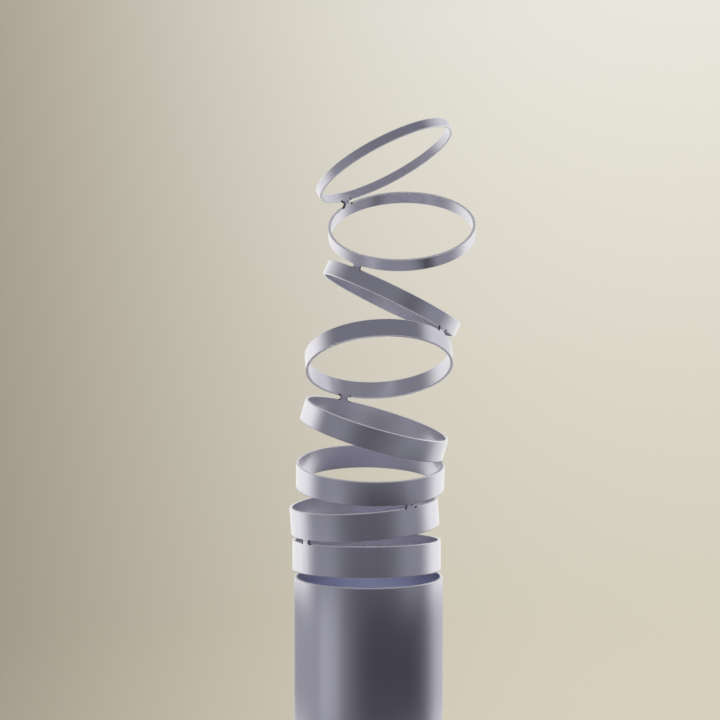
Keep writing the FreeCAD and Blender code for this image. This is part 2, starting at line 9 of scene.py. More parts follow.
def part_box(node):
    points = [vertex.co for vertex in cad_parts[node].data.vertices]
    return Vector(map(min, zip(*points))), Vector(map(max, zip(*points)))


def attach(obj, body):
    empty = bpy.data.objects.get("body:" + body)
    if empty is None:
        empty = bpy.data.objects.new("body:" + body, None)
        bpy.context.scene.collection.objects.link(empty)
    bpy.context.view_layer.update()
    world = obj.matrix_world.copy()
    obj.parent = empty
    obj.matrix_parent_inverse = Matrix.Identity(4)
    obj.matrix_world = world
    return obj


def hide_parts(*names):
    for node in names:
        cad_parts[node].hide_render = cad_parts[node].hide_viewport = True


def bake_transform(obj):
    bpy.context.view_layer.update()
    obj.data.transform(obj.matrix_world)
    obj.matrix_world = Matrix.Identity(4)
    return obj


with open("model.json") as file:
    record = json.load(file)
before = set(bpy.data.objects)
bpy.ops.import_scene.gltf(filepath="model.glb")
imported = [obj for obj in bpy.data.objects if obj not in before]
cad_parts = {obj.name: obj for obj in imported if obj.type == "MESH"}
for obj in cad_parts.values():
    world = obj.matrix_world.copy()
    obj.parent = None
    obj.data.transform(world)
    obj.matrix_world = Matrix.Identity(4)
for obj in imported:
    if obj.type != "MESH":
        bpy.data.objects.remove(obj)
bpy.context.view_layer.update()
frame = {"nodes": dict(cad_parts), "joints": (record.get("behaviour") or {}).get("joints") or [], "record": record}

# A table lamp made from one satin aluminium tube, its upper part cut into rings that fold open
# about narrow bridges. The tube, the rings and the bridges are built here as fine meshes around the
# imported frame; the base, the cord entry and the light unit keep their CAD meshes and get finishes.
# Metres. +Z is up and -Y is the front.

# ---- driving dimensions, as in the part ----
TUBE_R = 0.075
WALL = 0.003
BORE_R = TUBE_R - WALL
WALL_MID_R = TUBE_R - WALL / 2
CLOSED_HEIGHT = 0.5
SLOT_1 = 0.003
SLOT_STEP = 0.00025
BRIDGE_WIDTH = 0.0075
RELIEF_RISE = 0.0004       # the round relief at a slot's end reaches this far past its edges
CORD_HOLE_R = 0.0061
# The deep rings get painted shade: darker lower rims and duller insides.
DEEP_RINGS = 4             # rings whose inside is lit only through the slots

# ---- mesh fineness ----
EDGE_R = 0.0007            # rounding of every cut rim
EDGE_STEPS = 4
COLUMN_COUNT = 288         # columns round a ring
NOTCH_STEPS = 10           # columns across a relief
NOTCH_CLEARANCE = 0.0006   # no evenly spaced column stands nearer to a relief than this
HAIR = 0.00002             # rounding where a rim runs into a bridge
BRIDGE_EDGE_R = 0.00025
BRIDGE_ROWS = 16
BRIDGE_ROOT = 0.0004       # how far a bridge's closed end is sunk into the wall
ROOT_INSET = 0.00004       # how much narrower the sunk end is
DRILL_SIDES = 64
DRILL_DEPTH = 0.02
NOISE_SPAN = (0.3, 0.7)    # where most of a noise texture's values lie

# ---- camera and stage ----
CAMERA_X = -0.0086
CAMERA_Y = -1.6206
CAMERA_ABOVE_TUBE = 0.2777
CAMERA_PITCH = math.radians(2.114)
CAMERA_LENS = 80.575
SENSOR = 36.0
FLOOR_R = 1.3
STAGE_R = 3.2
STAGE_TOP = 5.0
STAGE_COLUMNS = 96
STAGE_BEND_STEPS = 24
# The backdrop glows by bearing from the camera's place, between these two sides, and by height.
STAGE_NEAR = 2.2           # nearest distance that counts for the bearing
STAGE_SIDES = (0.22, -0.42)   # right and left, as parts of the distance, where the glow levels off
STAGE_FALL = 1.5           # how soon it levels off to the right
STAGE_LEAN = 0.35          # how much a step back counts as a step up
STAGE_LOW = 0.1
STAGE_HIGH = 2.5
GLOW_LEFT_LOW = (0.034, 0.019, 0.0)
GLOW_LEFT_HIGH = (0.09, 0.049, 0.0)
GLOW_RIGHT_LOW = (0.4, 0.365, 0.285)
GLOW_RIGHT_HIGH = (0.65, 0.64, 0.59)

# ---- what the metal reflects ----
ROOM_LEVEL = 0.31
# The ceiling goes all round: height in degrees, half height and softness, level.
CEILING = (50, 45, 45, 0.22)
# Wide soft panels, light and dark: degrees round from the front (+ to the right), half width and
# softness, then as the ceiling.
PANELS = [
    (-177, 75, 40, 0, 24, 36, 1.03),       # wall behind the lamp
    (135, 40, 35, 20, 18, 22, 0.78),       # window behind it to the right
    (4, 34, 62, -9, 12, 20, 0.13),         # dark room in front
]
# A low grey screen stands round the lamp, with lighter and darker cards on it: degrees round,
# half width and softness, level.
SCREEN_R = 0.5
SCREEN_COLUMNS = 96
SCREEN_HEIGHTS = (-0.03, 0.085, 0.18, 0.25)    # clear below the first and above the last
SCREEN_LEVEL = 0.37
SCREEN_CARDS = [
    (-57, 15, 18, 0.48),       # light strip at the left
    (150, 48, 40, 0.56),       # light card behind
    (33, 60, 82, 0.065),       # black card in front
]
# The surroundings' tint: red and green, then blue, each at level 0 and what full level adds.
TINT_WARM = (0.96, 0.04)
TINT_BLUE = (1.12, -0.19)

# ---- lamps: name, place, aim, size, watts ----
LAMPS = [
    ("key", (1.6, 0.2, 2.6), (0.6, 2.0, 1.2), 1.6, 40),
    ("fill", (-1.4, -1.2, 2.2), (0, 0, 0.4), 1.8, 25),
    ("top", (0.15, -0.1, 2.4), (0, 0, 0.3), 0.9, 40),
]


# ---------------------------------------------------------------- the stack, folded shut and at rest

def fold_joints():
    named = {joint["name"]: joint for joint in frame["joints"]}
    return [named["ring_%d_fold" % (i + 1)] for i in range(len(named))]


class Link:
    """One bridge: its slot, its place round the tube and the ring above it."""

    def __init__(self, number, joint, below):
        self.number = number
        self.slot = SLOT_1 + SLOT_STEP * (number - 1)
        self.opening = -math.radians(joint["range_deg"][0])
        self.pivot = Vector(joint["pos_m"])
        self.axis = Vector(joint["axis"])
        self.below = below
        shut_pivot = below.inverted() @ self.pivot
        self.azimuth = math.atan2(shut_pivot.x, -shut_pivot.y)
        self.middle_z = shut_pivot.z
        self.relief_r = self.slot / 2 + RELIEF_RISE
        self.relief_at = BRIDGE_WIDTH / 2 + self.relief_r
        self.relief_half = math.sqrt(self.relief_r ** 2 - (self.slot / 2) ** 2)
        self.above = self.folded(1.0)

    def folded(self, share):
        """Placement of what has turned by that share of the opening at rest."""
        turn = Matrix.Rotation(self.opening * share, 4, self.axis)
        return Matrix.Translation(self.pivot) @ turn @ Matrix.Translation(-self.pivot) @ self.below

    def relief_cut(self, along):
        """How far the relief cuts into a rim, at a distance along the rim from the bridge."""
        off = abs(along) - self.relief_at
        if abs(off) >= self.relief_half:
            return 0.0
        return math.sqrt(self.relief_r ** 2 - off ** 2) - self.slot / 2

    def is_root(self, along):
        return abs(along) < self.relief_at - self.relief_half + HAIR


def make_links():
    links = []
    below = Matrix.Identity(4)
    for i, joint in enumerate(fold_joints()):
        links.append(Link(i + 1, joint, below))
        below = links[-1].above
    return links


def arc_between(angle, centre):
    """Signed distance along the wall's outside from one azimuth to another."""
    turn = (angle - centre + math.pi) % (2 * math.pi) - math.pi
    return turn * TUBE_R


# ---------------------------------------------------------------- meshes

def wall_point(radius, azimuth, z):
    return (radius * math.sin(azimuth), -radius * math.cos(azimuth), z)


def mesh_object(name, shut, rest, faces, materials, slots=None):
    """Object at rest. Its points' places in the folded-shut stack are kept as an attribute for grain."""
    mesh = bpy.data.meshes.new(name)
    mesh.from_pydata(rest, [], faces)
    mesh.update()
    for material in materials:
        mesh.materials.append(material)
    if slots is not None:
        mesh.polygons.foreach_set("material_index", slots)
    mesh.polygons.foreach_set("use_smooth", [True] * len(faces))
    grain = mesh.attributes.new("grain_place", "FLOAT_VECTOR", "POINT")
    grain.data.foreach_set("vector", np.array(shut, np.float32).ravel())
    obj = bpy.data.objects.new(name, mesh)
    bpy.context.scene.collection.objects.link(obj)
    return obj


def rounded_corner(outward_r, outward_z, edge):
    """Offsets from a square corner along its rounding, from the wall's face to the rim."""
    steps = []
    for k in range(EDGE_STEPS + 1):
        t = math.pi / 2 * k / EDGE_STEPS
        steps.append((outward_r * edge * (math.cos(t) - 1), outward_z * edge * (math.sin(t) - 1)))
    return steps


def wall_profile(low_z, high_z, low_edge, high_edge):
    """Closed outline of the wall as (radius, z), from the outside over the upper rim."""
    outline = []
    for dr, dz in rounded_corner(1, 1, high_edge):
        outline.append((TUBE_R + dr, high_z + dz))
    for dr, dz in reversed(rounded_corner(-1, 1, high_edge)):
        outline.append((BORE_R + dr, high_z + dz))
    for dr, dz in rounded_corner(-1, -1, low_edge):
        outline.append((BORE_R + dr, low_z + dz))
    for dr, dz in reversed(rounded_corner(1, -1, low_edge)):
        outline.append((TUBE_R + dr, low_z + dz))
    return outline


def column_azimuths(links):
    """Evenly spaced columns, finer round each bridge and its reliefs."""
    zones = []
    fine = []
    for link in links:
        marks = [link.relief_at - link.relief_half * math.cos(math.pi * k / NOTCH_STEPS)
                 for k in range(NOTCH_STEPS + 1)]
        root = marks[0] - 2 * HAIR
        along = [0, root / 2, root] + marks
        fine += [link.azimuth + side * s / TUBE_R for s in along for side in (-1, 1)]
        zones.append((link.azimuth, marks[-1] + NOTCH_CLEARANCE))
    even = [2 * math.pi * k / COLUMN_COUNT for k in range(COLUMN_COUNT)]
    clear = [a for a in even if all(abs(arc_between(a, c)) > reach for c, reach in zones)]
    wrapped = sorted(set(round(a % (2 * math.pi), 9) for a in clear + fine))
    return wrapped


# A wall's material slots, and a bridge's.
OUTSIDE_SLOT, RIM_SLOT, BORE_SLOT, RELIEF_SLOT, UNDER_SLOT = range(5)
FACE_SLOT, SIDE_SLOT = range(2)


def in_relief(link, azimuth):
    """Whether a column of the wall starts inside one of a bridge's two relief holes."""
    if link is None:
        return False
    off = abs(abs(arc_between(azimuth, link.azimuth)) - link.relief_at)
    return off <= link.relief_half + HAIR


def wall_mesh(low_z, high_z, link_below, link_above):
    """Points, faces and material indices of a length of the tube with its cut rims."""
    links = [link for link in (link_below, link_above) if link is not None]
    azimuths = column_azimuths(links)
    points = []
    for azimuth in azimuths:
        low, high = low_z, high_z
        low_edge = high_edge = EDGE_R
        if link_below is not None:
            along = arc_between(azimuth, link_below.azimuth)
            low += link_below.relief_cut(along)
            low_edge = HAIR if link_below.is_root(along) else EDGE_R
        if link_above is not None:
            along = arc_between(azimuth, link_above.azimuth)
            high -= link_above.relief_cut(along)
            high_edge = HAIR if link_above.is_root(along) else EDGE_R
        points += [wall_point(r, azimuth, z) for r, z in wall_profile(low, high, low_edge, high_edge)]
    ring = 4 * (EDGE_STEPS + 1)
    count = len(azimuths)
    faces = []
    slots = []
    bore_start = 2 * EDGE_STEPS + 1
    outside_start = ring - 1
    for i in range(count):
        a, b = i * ring, (i + 1) % count * ring
        high_rim = RELIEF_SLOT if in_relief(link_above, azimuths[i]) else RIM_SLOT
        low_rim = RELIEF_SLOT if in_relief(link_below, azimuths[i]) else UNDER_SLOT
        for k in range(ring):
            n = (k + 1) % ring
            faces.append((a + k, a + n, b + n, b + k))
            rim = high_rim if k < bore_start else low_rim
            slots.append({outside_start: OUTSIDE_SLOT, bore_start: BORE_SLOT}.get(k, rim))
    return points, faces, slots


def keep_flat_faces(obj):
    """Weighted normals, so that the wall's faces stay true beside the rounded rims."""
    normals = obj.modifiers.new("face_normals", "WEIGHTED_NORMAL")
    normals.keep_sharp = True
    normals.weight = 100


def bridge_section(link, height, inset):
    """Outline of a bridge across the wall at a height from the slot's middle: (along, radius)."""
    reach = min(abs(height), link.slot / 2)
    half = link.relief_at - math.sqrt(link.relief_r ** 2 - reach ** 2) - inset
    e = BRIDGE_EDGE_R
    corner = [(e * (1 - math.cos(t)), e * (1 - math.sin(t))) for t in (0, math.pi / 4, math.pi / 2)]
    outer, inner = TUBE_R - inset, BORE_R + inset
    flats = (-0.5, 0.0, 0.5)
    outline = [(-half + dx, outer - dy) for dx, dy in corner]
    outline += [(half * f, outer) for f in flats]
    outline += [(half - dx, outer - dy) for dx, dy in reversed(corner)]
    outline += [(half - dx, inner + dy) for dx, dy in corner]
    outline += [(-half * f, inner) for f in flats]
    outline += [(-half + dx, inner + dy) for dx, dy in reversed(corner)]
    return outline


def bridge_mesh(link):
    """The bridge as one strip of the wall: folded-shut points, rest points, faces and slots."""
    half = link.slot / 2
    rows = [(-half - BRIDGE_ROOT, ROOT_INSET)]
    rows += [(-half + link.slot * k / BRIDGE_ROWS, 0.0) for k in range(BRIDGE_ROWS + 1)]
    rows += [(half + BRIDGE_ROOT, ROOT_INSET)]
    shut = []
    rest = []
    for height, inset in rows:
        t = min(max(0.5 + height / link.slot, 0.0), 1.0)
        placement = link.folded(t * t * (3 - 2 * t))
        for along, radius in bridge_section(link, height, inset):
            point = wall_point(radius, link.azimuth + along / WALL_MID_R, link.middle_z + height)
            shut.append(point)
            rest.append(placement @ Vector(point))
    ring = len(shut) // len(rows)
    sides = (ring // 2 - 1, ring - 1)
    faces = [tuple(reversed(range(ring)))]
    slots = [FACE_SLOT]
    for i in range(len(rows) - 1):
        a, b = i * ring, (i + 1) * ring
        for k in range(ring):
            n = (k + 1) % ring
            faces.append((a + k, a + n, b + n, b + k))
            slots.append(SIDE_SLOT if k in sides else FACE_SLOT)
    top = (len(rows) - 1) * ring
    faces.append(tuple(range(top, top + ring)))
    slots.append(FACE_SLOT)
    return shut, rest, faces, slots


# ---------------------------------------------------------------- materials

class Finish:
    """A Principled material with its own small node tree."""

    def __init__(self, name, colour, roughness, metallic=0.0):
        self.material = bpy.data.materials.new(name)
        self.material.use_nodes = True
        self.nodes = self.material.node_tree.nodes
        self.links = self.material.node_tree.links
        self.shader = self.nodes["Principled BSDF"]
        self.colour = colour
        self.set("Base Color", (*colour, 1.0))
        self.set("Roughness", roughness)
        self.set("Metallic", metallic)
        self.roughness = roughness

    def set(self, socket, value):
        self.shader.inputs[socket].default_value = value

    def place(self, stretch, attribute=None):
        """Texture coordinates stretched per axis, from the object or from a stored attribute."""
        mapping = self.nodes.new("ShaderNodeMapping")
        mapping.inputs["Scale"].default_value = stretch
        if attribute:
            source = self.nodes.new("ShaderNodeAttribute")
            source.attribute_name = attribute
            self.links.new(source.outputs["Vector"], mapping.inputs["Vector"])
        else:
            source = self.nodes.new("ShaderNodeTexCoord")
            self.links.new(source.outputs["Object"], mapping.inputs["Vector"])
        return mapping.outputs["Vector"]

    def noise(self, place, scale, detail=4.0):
        noise = self.nodes.new("ShaderNodeTexNoise")
        noise.inputs["Scale"].default_value = scale
        noise.inputs["Detail"].default_value = detail
        self.links.new(place, noise.inputs["Vector"])
        return noise.outputs["Fac"]

    def cells(self, place, scale):
        cells = self.nodes.new("ShaderNodeTexVoronoi")
        cells.inputs["Scale"].default_value = scale
        self.links.new(place, cells.inputs["Vector"])
        return cells.outputs["Distance"]

    def vary_roughness(self, source, amount):
        span = self.nodes.new("ShaderNodeMapRange")
        span.inputs["From Min"].default_value = NOISE_SPAN[0]
        span.inputs["From Max"].default_value = NOISE_SPAN[1]
        span.inputs["To Min"].default_value = max(self.roughness - amount, 0.02)
        span.inputs["To Max"].default_value = self.roughness + amount
        self.links.new(source, span.inputs["Value"])
        self.links.new(span.outputs["Result"], self.shader.inputs["Roughness"])

    def vary_colour(self, source, other, low=0.35, high=0.65):
        ramp = self.nodes.new("ShaderNodeValToRGB")
        ramp.color_ramp.elements[0].position = low
        ramp.color_ramp.elements[0].color = (*self.colour, 1.0)
        ramp.color_ramp.elements[1].position = high
        ramp.color_ramp.elements[1].color = (*other, 1.0)
        self.links.new(source, ramp.inputs["Fac"])
        self.links.new(ramp.outputs["Color"], self.shader.inputs["Base Color"])

    def bump(self, source, strength, depth):
        bump = self.nodes.new("ShaderNodeBump")
        bump.inputs["Strength"].default_value = strength
        bump.inputs["Distance"].default_value = depth
        self.links.new(source, bump.inputs["Height"])
        self.links.new(bump.outputs["Normal"], self.shader.inputs["Normal"])


def satin_aluminium(name="satin_aluminium", attribute="grain_place"):
    """Etched and anodised, with faint lines drawn along the tube's length."""
    finish = Finish(name, (0.73, 0.717, 0.825), 0.19, 1.0)
    drawn = finish.noise(finish.place((900, 900, 14), attribute), 1.0, 3.0)
    cloud = finish.noise(finish.place((1, 1, 0.4), attribute), 22.0, 3.0)
    finish.vary_colour(cloud, (0.755, 0.742, 0.85))
    finish.vary_roughness(drawn, 0.03)
    finish.bump(drawn, 0.06, 0.0001)
    return finish.material


def satin_bore(name, tone, metallic):
    """The tube's inside: the same finish, in copies by depth as painted shade, duller and bluer the deeper it is
    in the tube.
    """
    finish = Finish(name, tone, 0.24, metallic)
    cloud = finish.noise(finish.place((1, 1, 0.4), "grain_place"), 22.0, 3.0)
    finish.vary_colour(cloud, tuple(c + 0.03 for c in tone))
    finish.vary_roughness(cloud, 0.03)
    return finish.material


def cut_edge(name, tone):
    """Bare metal of the cut rims."""
    finish = Finish(name, tone, 0.30, 0.88)
    finish.vary_roughness(finish.noise(finish.place((1, 1, 1), "grain_place"), 900.0, 2.0), 0.06)
    return finish.material


def painted_shade_cut_finish(name, shade_tone, lighter_tone):
    """A cut face painted dark as shade: painted shade on the relief holes and the bridges' sides, which sit deep
    in the narrow slots, varied at random between two dark tones.
    """
    finish = Finish(name, shade_tone, 0.5, 0.6)
    shade_spread = finish.noise(finish.place((1, 1, 1), "grain_place"), 1200.0, 3.0)
    finish.vary_colour(shade_spread, lighter_tone)
    return finish.material


def brushed_metal(name, colour, other, roughness, stretch=(60, 900, 900)):
    finish = Finish(name, colour, roughness, 1.0)
    lines = finish.noise(finish.place(stretch), 1.0, 4.0)
    finish.vary_colour(lines, other)
    finish.vary_roughness(lines, 0.08)
    finish.bump(lines, 0.12, 0.0001)
    return finish.material


def plated_metal(name, colour, other, roughness):
    finish = Finish(name, colour, roughness, 1.0)
    spangle = finish.cells(finish.place((1, 1, 1)), 900.0)
    finish.vary_colour(spangle, other, 0.1, 0.7)
    finish.vary_roughness(finish.noise(finish.place((1, 1, 1)), 500.0), 0.08)
    return finish.material


def rubber(name, colour):
    finish = Finish(name, colour, 0.78)
    grain = finish.noise(finish.place((1, 1, 1)), 1800.0, 5.0)
    dust = finish.noise(finish.place((1, 1, 1)), 60.0, 3.0)
    finish.vary_colour(dust, tuple(c * 1.35 + 0.01 for c in colour))
    finish.bump(grain, 0.35, 0.0002)
    return finish.material


def moulded(name, colour, roughness, gloss=0.0):
    """Plastic with the fine spark-eroded texture of its mould."""
    finish = Finish(name, colour, roughness)
    grain = finish.cells(finish.place((1, 1, 1)), 1500.0)
    tone = finish.noise(finish.place((1, 1, 1)), 40.0, 2.0)
    finish.vary_colour(tone, tuple(min(c * 1.06 + 0.004, 1.0) for c in colour))
    finish.vary_roughness(grain, 0.05)
    finish.bump(grain, 0.15, 0.0001)
    finish.set("Coat Weight", gloss)
    return finish.material


def board_laminate(name, colour, other):
    finish = Finish(name, colour, 0.35)
    weave = finish.cells(finish.place((1, 1, 1)), 700.0)
    finish.vary_colour(weave, other, 0.2, 0.6)
    finish.bump(weave, 0.08, 0.0001)
    finish.set("Coat Weight", 0.4)
    return finish.material


def opal_glass():
    """Etched opal glass: it scatters light inside and shows no clear reflection."""
    finish = Finish("opal_glass", (0.93, 0.94, 0.95), 0.42)
    etched = finish.noise(finish.place((1, 1, 1)), 2500.0, 2.0)
    finish.vary_roughness(etched, 0.05)
    finish.bump(etched, 0.05, 0.0001)
    finish.set("Subsurface Weight", 0.35)
    finish.set("Subsurface Radius", (0.004, 0.004, 0.004))
    finish.set("IOR", 1.5)
    return finish.material


def node_finishes():
    """The finish of each material slot that a CAD node may have."""
    return {
        "satin_aluminium": satin_aluminium("satin_aluminium_turned", None),
        "ballast_steel": brushed_metal("ballast_steel", (0.16, 0.16, 0.165), (0.22, 0.22, 0.225), 0.45),
        "zinc_steel": plated_metal("zinc_steel", (0.62, 0.63, 0.65), (0.52, 0.54, 0.58), 0.34),
        "mill_aluminium": brushed_metal("mill_aluminium", (0.66, 0.66, 0.68), (0.74, 0.74, 0.76), 0.36),
        "bright_aluminium": brushed_metal("bright_aluminium", (0.86, 0.86, 0.87), (0.9, 0.9, 0.9), 0.16),
        "foot_rubber": rubber("foot_rubber", (0.022, 0.022, 0.023)),
        "seal_rubber": rubber("seal_rubber", (0.03, 0.03, 0.03)),
        "thermal_rubber": rubber("thermal_rubber", (0.42, 0.46, 0.52)),
        "black_nylon": moulded("black_nylon", (0.018, 0.018, 0.02), 0.48),
        "white_nylon": moulded("white_nylon", (0.78, 0.78, 0.75), 0.45),
        "driver_plastic": moulded("driver_plastic", (0.72, 0.72, 0.70), 0.5),
        "circuit_board": board_laminate("circuit_board", (0.02, 0.13, 0.045), (0.03, 0.19, 0.07)),
        "white_board": board_laminate("white_board", (0.84, 0.85, 0.83), (0.78, 0.79, 0.77)),
        "phosphor": moulded("phosphor", (0.86, 0.62, 0.06), 0.25, 0.6),
        "wire_sheath": moulded("wire_sheath", (0.03, 0.03, 0.033), 0.42, 0.2),
        "brass_parts": plated_metal("brass_parts", (0.72, 0.50, 0.20), (0.62, 0.42, 0.16), 0.3),
        "opal_glass": opal_glass(),
    }


# ---------------------------------------------------------------- the object

def make_walls(links, satin, edge, painted_shade_under_edge, painted_cut_shade, bores):
    """The tube and the rings. bores holds the inside's material, the tube's first."""
    foot_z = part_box("tube")[0].z
    first = links[0]
    points, faces, slots = wall_mesh(foot_z, first.middle_z - first.slot / 2, None, first)
    looks = [satin, edge, bores[0], painted_cut_shade, edge]
    tube = mesh_object("tube_wall", points, points, faces, looks, slots)
    bore_cord_hole(tube)
    keep_flat_faces(tube)
    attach(tube, "lamp_body")
    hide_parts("tube")
    for i, link in enumerate(links):
        above = links[i + 1] if i + 1 < len(links) else None
        low_z = link.middle_z + link.slot / 2
        high_z = above.middle_z - above.slot / 2 if above else CLOSED_HEIGHT
        points, faces, slots = wall_mesh(low_z, high_z, link, above)
        name = "ring_%d" % link.number
        rest = [link.above @ Vector(point) for point in points]
        # The deep rings' lower rims take the painted shade.
        under = painted_shade_under_edge if link.number <= DEEP_RINGS else edge
        looks = [satin, edge, bores[link.number], painted_cut_shade, under]
        ring = mesh_object(name + "_wall", points, rest, faces, looks, slots)
        keep_flat_faces(ring)
        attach(ring, name + "_body")
        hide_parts(name)


def bore_cord_hole(tube):
    """The hole through the back wall that the cord gland sits in."""
    low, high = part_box("gland_nut")
    centre_z = (low.z + high.z) / 2
    bpy.ops.mesh.primitive_cylinder_add(vertices=DRILL_SIDES, radius=CORD_HOLE_R, depth=DRILL_DEPTH)
    drill = bpy.context.active_object
    centre = Matrix.Translation((0, WALL_MID_R, centre_z))
    drill.matrix_world = centre @ Matrix.Rotation(math.pi / 2, 4, "X")
    cut = tube.modifiers.new("cord_hole", "BOOLEAN")
    cut.operation = "DIFFERENCE"
    cut.solver = "EXACT"
    cut.object = drill
    bpy.context.view_layer.update()
    depsgraph = bpy.context.evaluated_depsgraph_get()
    bored = bpy.data.meshes.new_from_object(tube.evaluated_get(depsgraph))
    tube.modifiers.remove(cut)
    tube.data = bored
    bpy.data.objects.remove(drill)


def make_bridges(links, satin, painted_cut_shade):
    """One strip for each bridge, bent as the joint is at rest, from the ring below to the ring above."""
    for link in links:
        shut, rest, faces, slots = bridge_mesh(link)
        name = "bridge_%d" % link.number
        # The strip's sides take the painted shade.
        strip = mesh_object(name, shut, rest, faces, [satin, painted_cut_shade], slots)
        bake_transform(strip)
        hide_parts("bridge_foot_%d" % link.number, "bridge_seat_%d" % link.number)


def finish_nodes():
    """Every CAD node that stays gets the finish of its slot."""
    finishes = node_finishes()
    slot_of = {row["node"]: row["material_slot"] for row in frame["record"]["subparts"]}
    for name, obj in frame["nodes"].items():
        if obj.hide_render:
            continue
        obj.data.materials.clear()
        obj.data.materials.append(finishes[slot_of[name]])


# ---------------------------------------------------------------- stage, light and camera

def feed(tree, socket, value):
    """Put a plain value on a socket, or link another node's output to it."""
    if isinstance(value, bpy.types.NodeSocket):
        tree.links.new(value, socket)
    else:
        socket.default_value = value


def math_node(tree, operation, *values):
    node = tree.nodes.new("ShaderNodeMath")
    node.operation = operation
    for socket, value in zip(node.inputs, values):
        feed(tree, socket, value)
    return node.outputs["Value"]


def span_node(tree, value, low, high, smooth=False):
    """The value's place between low and high, from 0 to 1."""
    span = tree.nodes.new("ShaderNodeMapRange")
    span.interpolation_type = "SMOOTHSTEP" if smooth else "LINEAR"
    span.inputs["From Min"].default_value = low
    span.inputs["From Max"].default_value = high
    tree.links.new(value, span.inputs["Value"])
    return span.outputs["Result"]


def mix_node(tree, share, first, second):
    mix = tree.nodes.new("ShaderNodeMix")
    mix.data_type = "RGBA"
    tree.links.new(share, mix.inputs["Factor"])
    feed(tree, mix.inputs["A"], first)
    feed(tree, mix.inputs["B"], second)
    return mix.outputs["Result"]


def stage_material():
    """Pale warm paper with painted light: it glows softly, brighter to the right and above, as under a raking
    lamp.
    """
    finish = Finish("stage_paper", (0.18, 0.172, 0.15), 0.9)
    tree = finish.material.node_tree
    place = finish.nodes.new("ShaderNodeTexCoord")
    parts = finish.nodes.new("ShaderNodeSeparateXYZ")
    finish.links.new(place.outputs["Object"], parts.inputs["Vector"])
    distance = math_node(tree, "ADD", parts.outputs["Y"], -CAMERA_Y)
    depth = math_node(tree, "MAXIMUM", distance, STAGE_NEAR)
    bearing = math_node(tree, "DIVIDE", parts.outputs["X"], depth)
    from_right = span_node(tree, bearing, STAGE_SIDES[0], STAGE_SIDES[1], True)
    across = math_node(tree, "SUBTRACT", 1.0, math_node(tree, "POWER", from_right, STAGE_FALL))
    back = math_node(tree, "MULTIPLY", parts.outputs["Y"], STAGE_LEAN)
    height = math_node(tree, "ADD", parts.outputs["Z"], back)
    rise = span_node(tree, height, STAGE_LOW, STAGE_HIGH)
    low = mix_node(tree, across, (*GLOW_LEFT_LOW, 1.0), (*GLOW_RIGHT_LOW, 1.0))
    high = mix_node(tree, across, (*GLOW_LEFT_HIGH, 1.0), (*GLOW_RIGHT_HIGH, 1.0))
    finish.links.new(mix_node(tree, rise, low, high), finish.shader.inputs["Emission Color"])
    finish.set("Emission Strength", 1.0)
    finish.set("Specular IOR Level", 0.0)
    return finish.material


def make_stage():
    """Round floor that curves up into a wall all round, so that no horizon shows."""
    bend_r = STAGE_R - FLOOR_R
    outline = [(0.0, 0.0), (FLOOR_R * 0.5, 0.0)]
    for k in range(STAGE_BEND_STEPS + 1):
        t = math.pi / 2 * k / STAGE_BEND_STEPS
        outline.append((FLOOR_R + bend_r * math.sin(t), bend_r * (1 - math.cos(t))))
    outline.append((STAGE_R, STAGE_TOP))
    count = STAGE_COLUMNS
    points = [(r * math.sin(a), r * math.cos(a), z)
              for r, z in outline for a in (2 * math.pi * k / count for k in range(count))]
    faces = []
    for i in range(len(outline) - 1):
        for k in range(count):
            n = (k + 1) % count
            faces.append((i * count + k, (i + 1) * count + k, (i + 1) * count + n, i * count + n))
    mesh = bpy.data.meshes.new("stage")
    mesh.from_pydata(points, [], faces)
    mesh.polygons.foreach_set("use_smooth", [True] * len(faces))
    mesh.materials.append(stage_material())
    stage = bpy.data.objects.new("stage", mesh)
    bpy.context.scene.collection.objects.link(stage)
    stage.visible_glossy = False
    stage.visible_shadow = False


def surround_tone(level):
    """Light from the surroundings: cool where it is dark, warm where it is bright."""
    bright = min(level, 1.0)
    warm = level * (TINT_WARM[0] + TINT_WARM[1] * bright)
    blue = level * (TINT_BLUE[0] + TINT_BLUE[1] * bright)
    return (warm, warm, blue, 1.0)


def compass_mask(tree, place, azimuth, half, soft):
    """1 within half a width of an azimuth, falling softly to 0 outside it."""
    level = tree.nodes.new("ShaderNodeVectorMath")
    level.operation = "MULTIPLY"
    level.inputs[1].default_value = (1, 1, 0)
    tree.links.new(place, level.inputs[0])
    compass = tree.nodes.new("ShaderNodeVectorMath")
    compass.operation = "NORMALIZE"
    tree.links.new(level.outputs["Vector"], compass.inputs[0])
    facing = tree.nodes.new("ShaderNodeVectorMath")
    facing.operation = "DOT_PRODUCT"
    facing.inputs[1].default_value = wall_point(1, math.radians(azimuth), 0)
    tree.links.new(compass.outputs["Vector"], facing.inputs[0])
    outer = math.cos(math.radians(half + soft / 2))
    inner = math.cos(math.radians(half - soft / 2))
    return span_node(tree, facing.outputs["Value"], outer, inner, True)


def height_mask(tree, upward, height, half, soft):
    """1 within half a height of an angle above the horizon, falling softly to 0 outside it."""
    off = math_node(tree, "SUBTRACT", upward, math.sin(math.radians(height)))
    outer = math.sin(math.radians(half + soft / 2))
    inner = math.sin(math.radians(half - soft / 2))
    return span_node(tree, math_node(tree, "ABSOLUTE", off), outer, inner, True)


